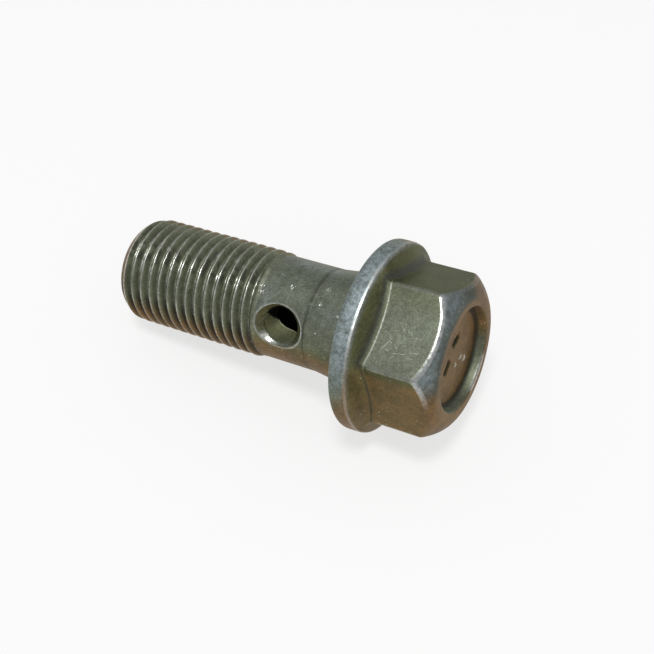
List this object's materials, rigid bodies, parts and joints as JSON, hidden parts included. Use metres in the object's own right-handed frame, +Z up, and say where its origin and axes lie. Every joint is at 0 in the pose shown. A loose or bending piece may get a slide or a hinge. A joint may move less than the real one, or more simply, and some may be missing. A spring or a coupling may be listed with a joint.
{
  "type": "banjo bolt",
  "caption": "Short hollow bolt with a hexagonal flanged head, a fine thread, and a cross hole in the plain shank that meets a bore from the tip.",
  "frame": {"origin": "centre of the flange's bearing face, with the bolt lying on its flange and its tip", "axes": "+Z up, +X level, over the bolt's axis and towards the head"},
  "size_m": [0.034, 0.017, 0.017],
  "materials": {
    "plated_steel": "olive plated, worn"
  },
  "bodies": {
    "root": {"banjo_bolt": "plated_steel"}
  },
  "joints": []
}
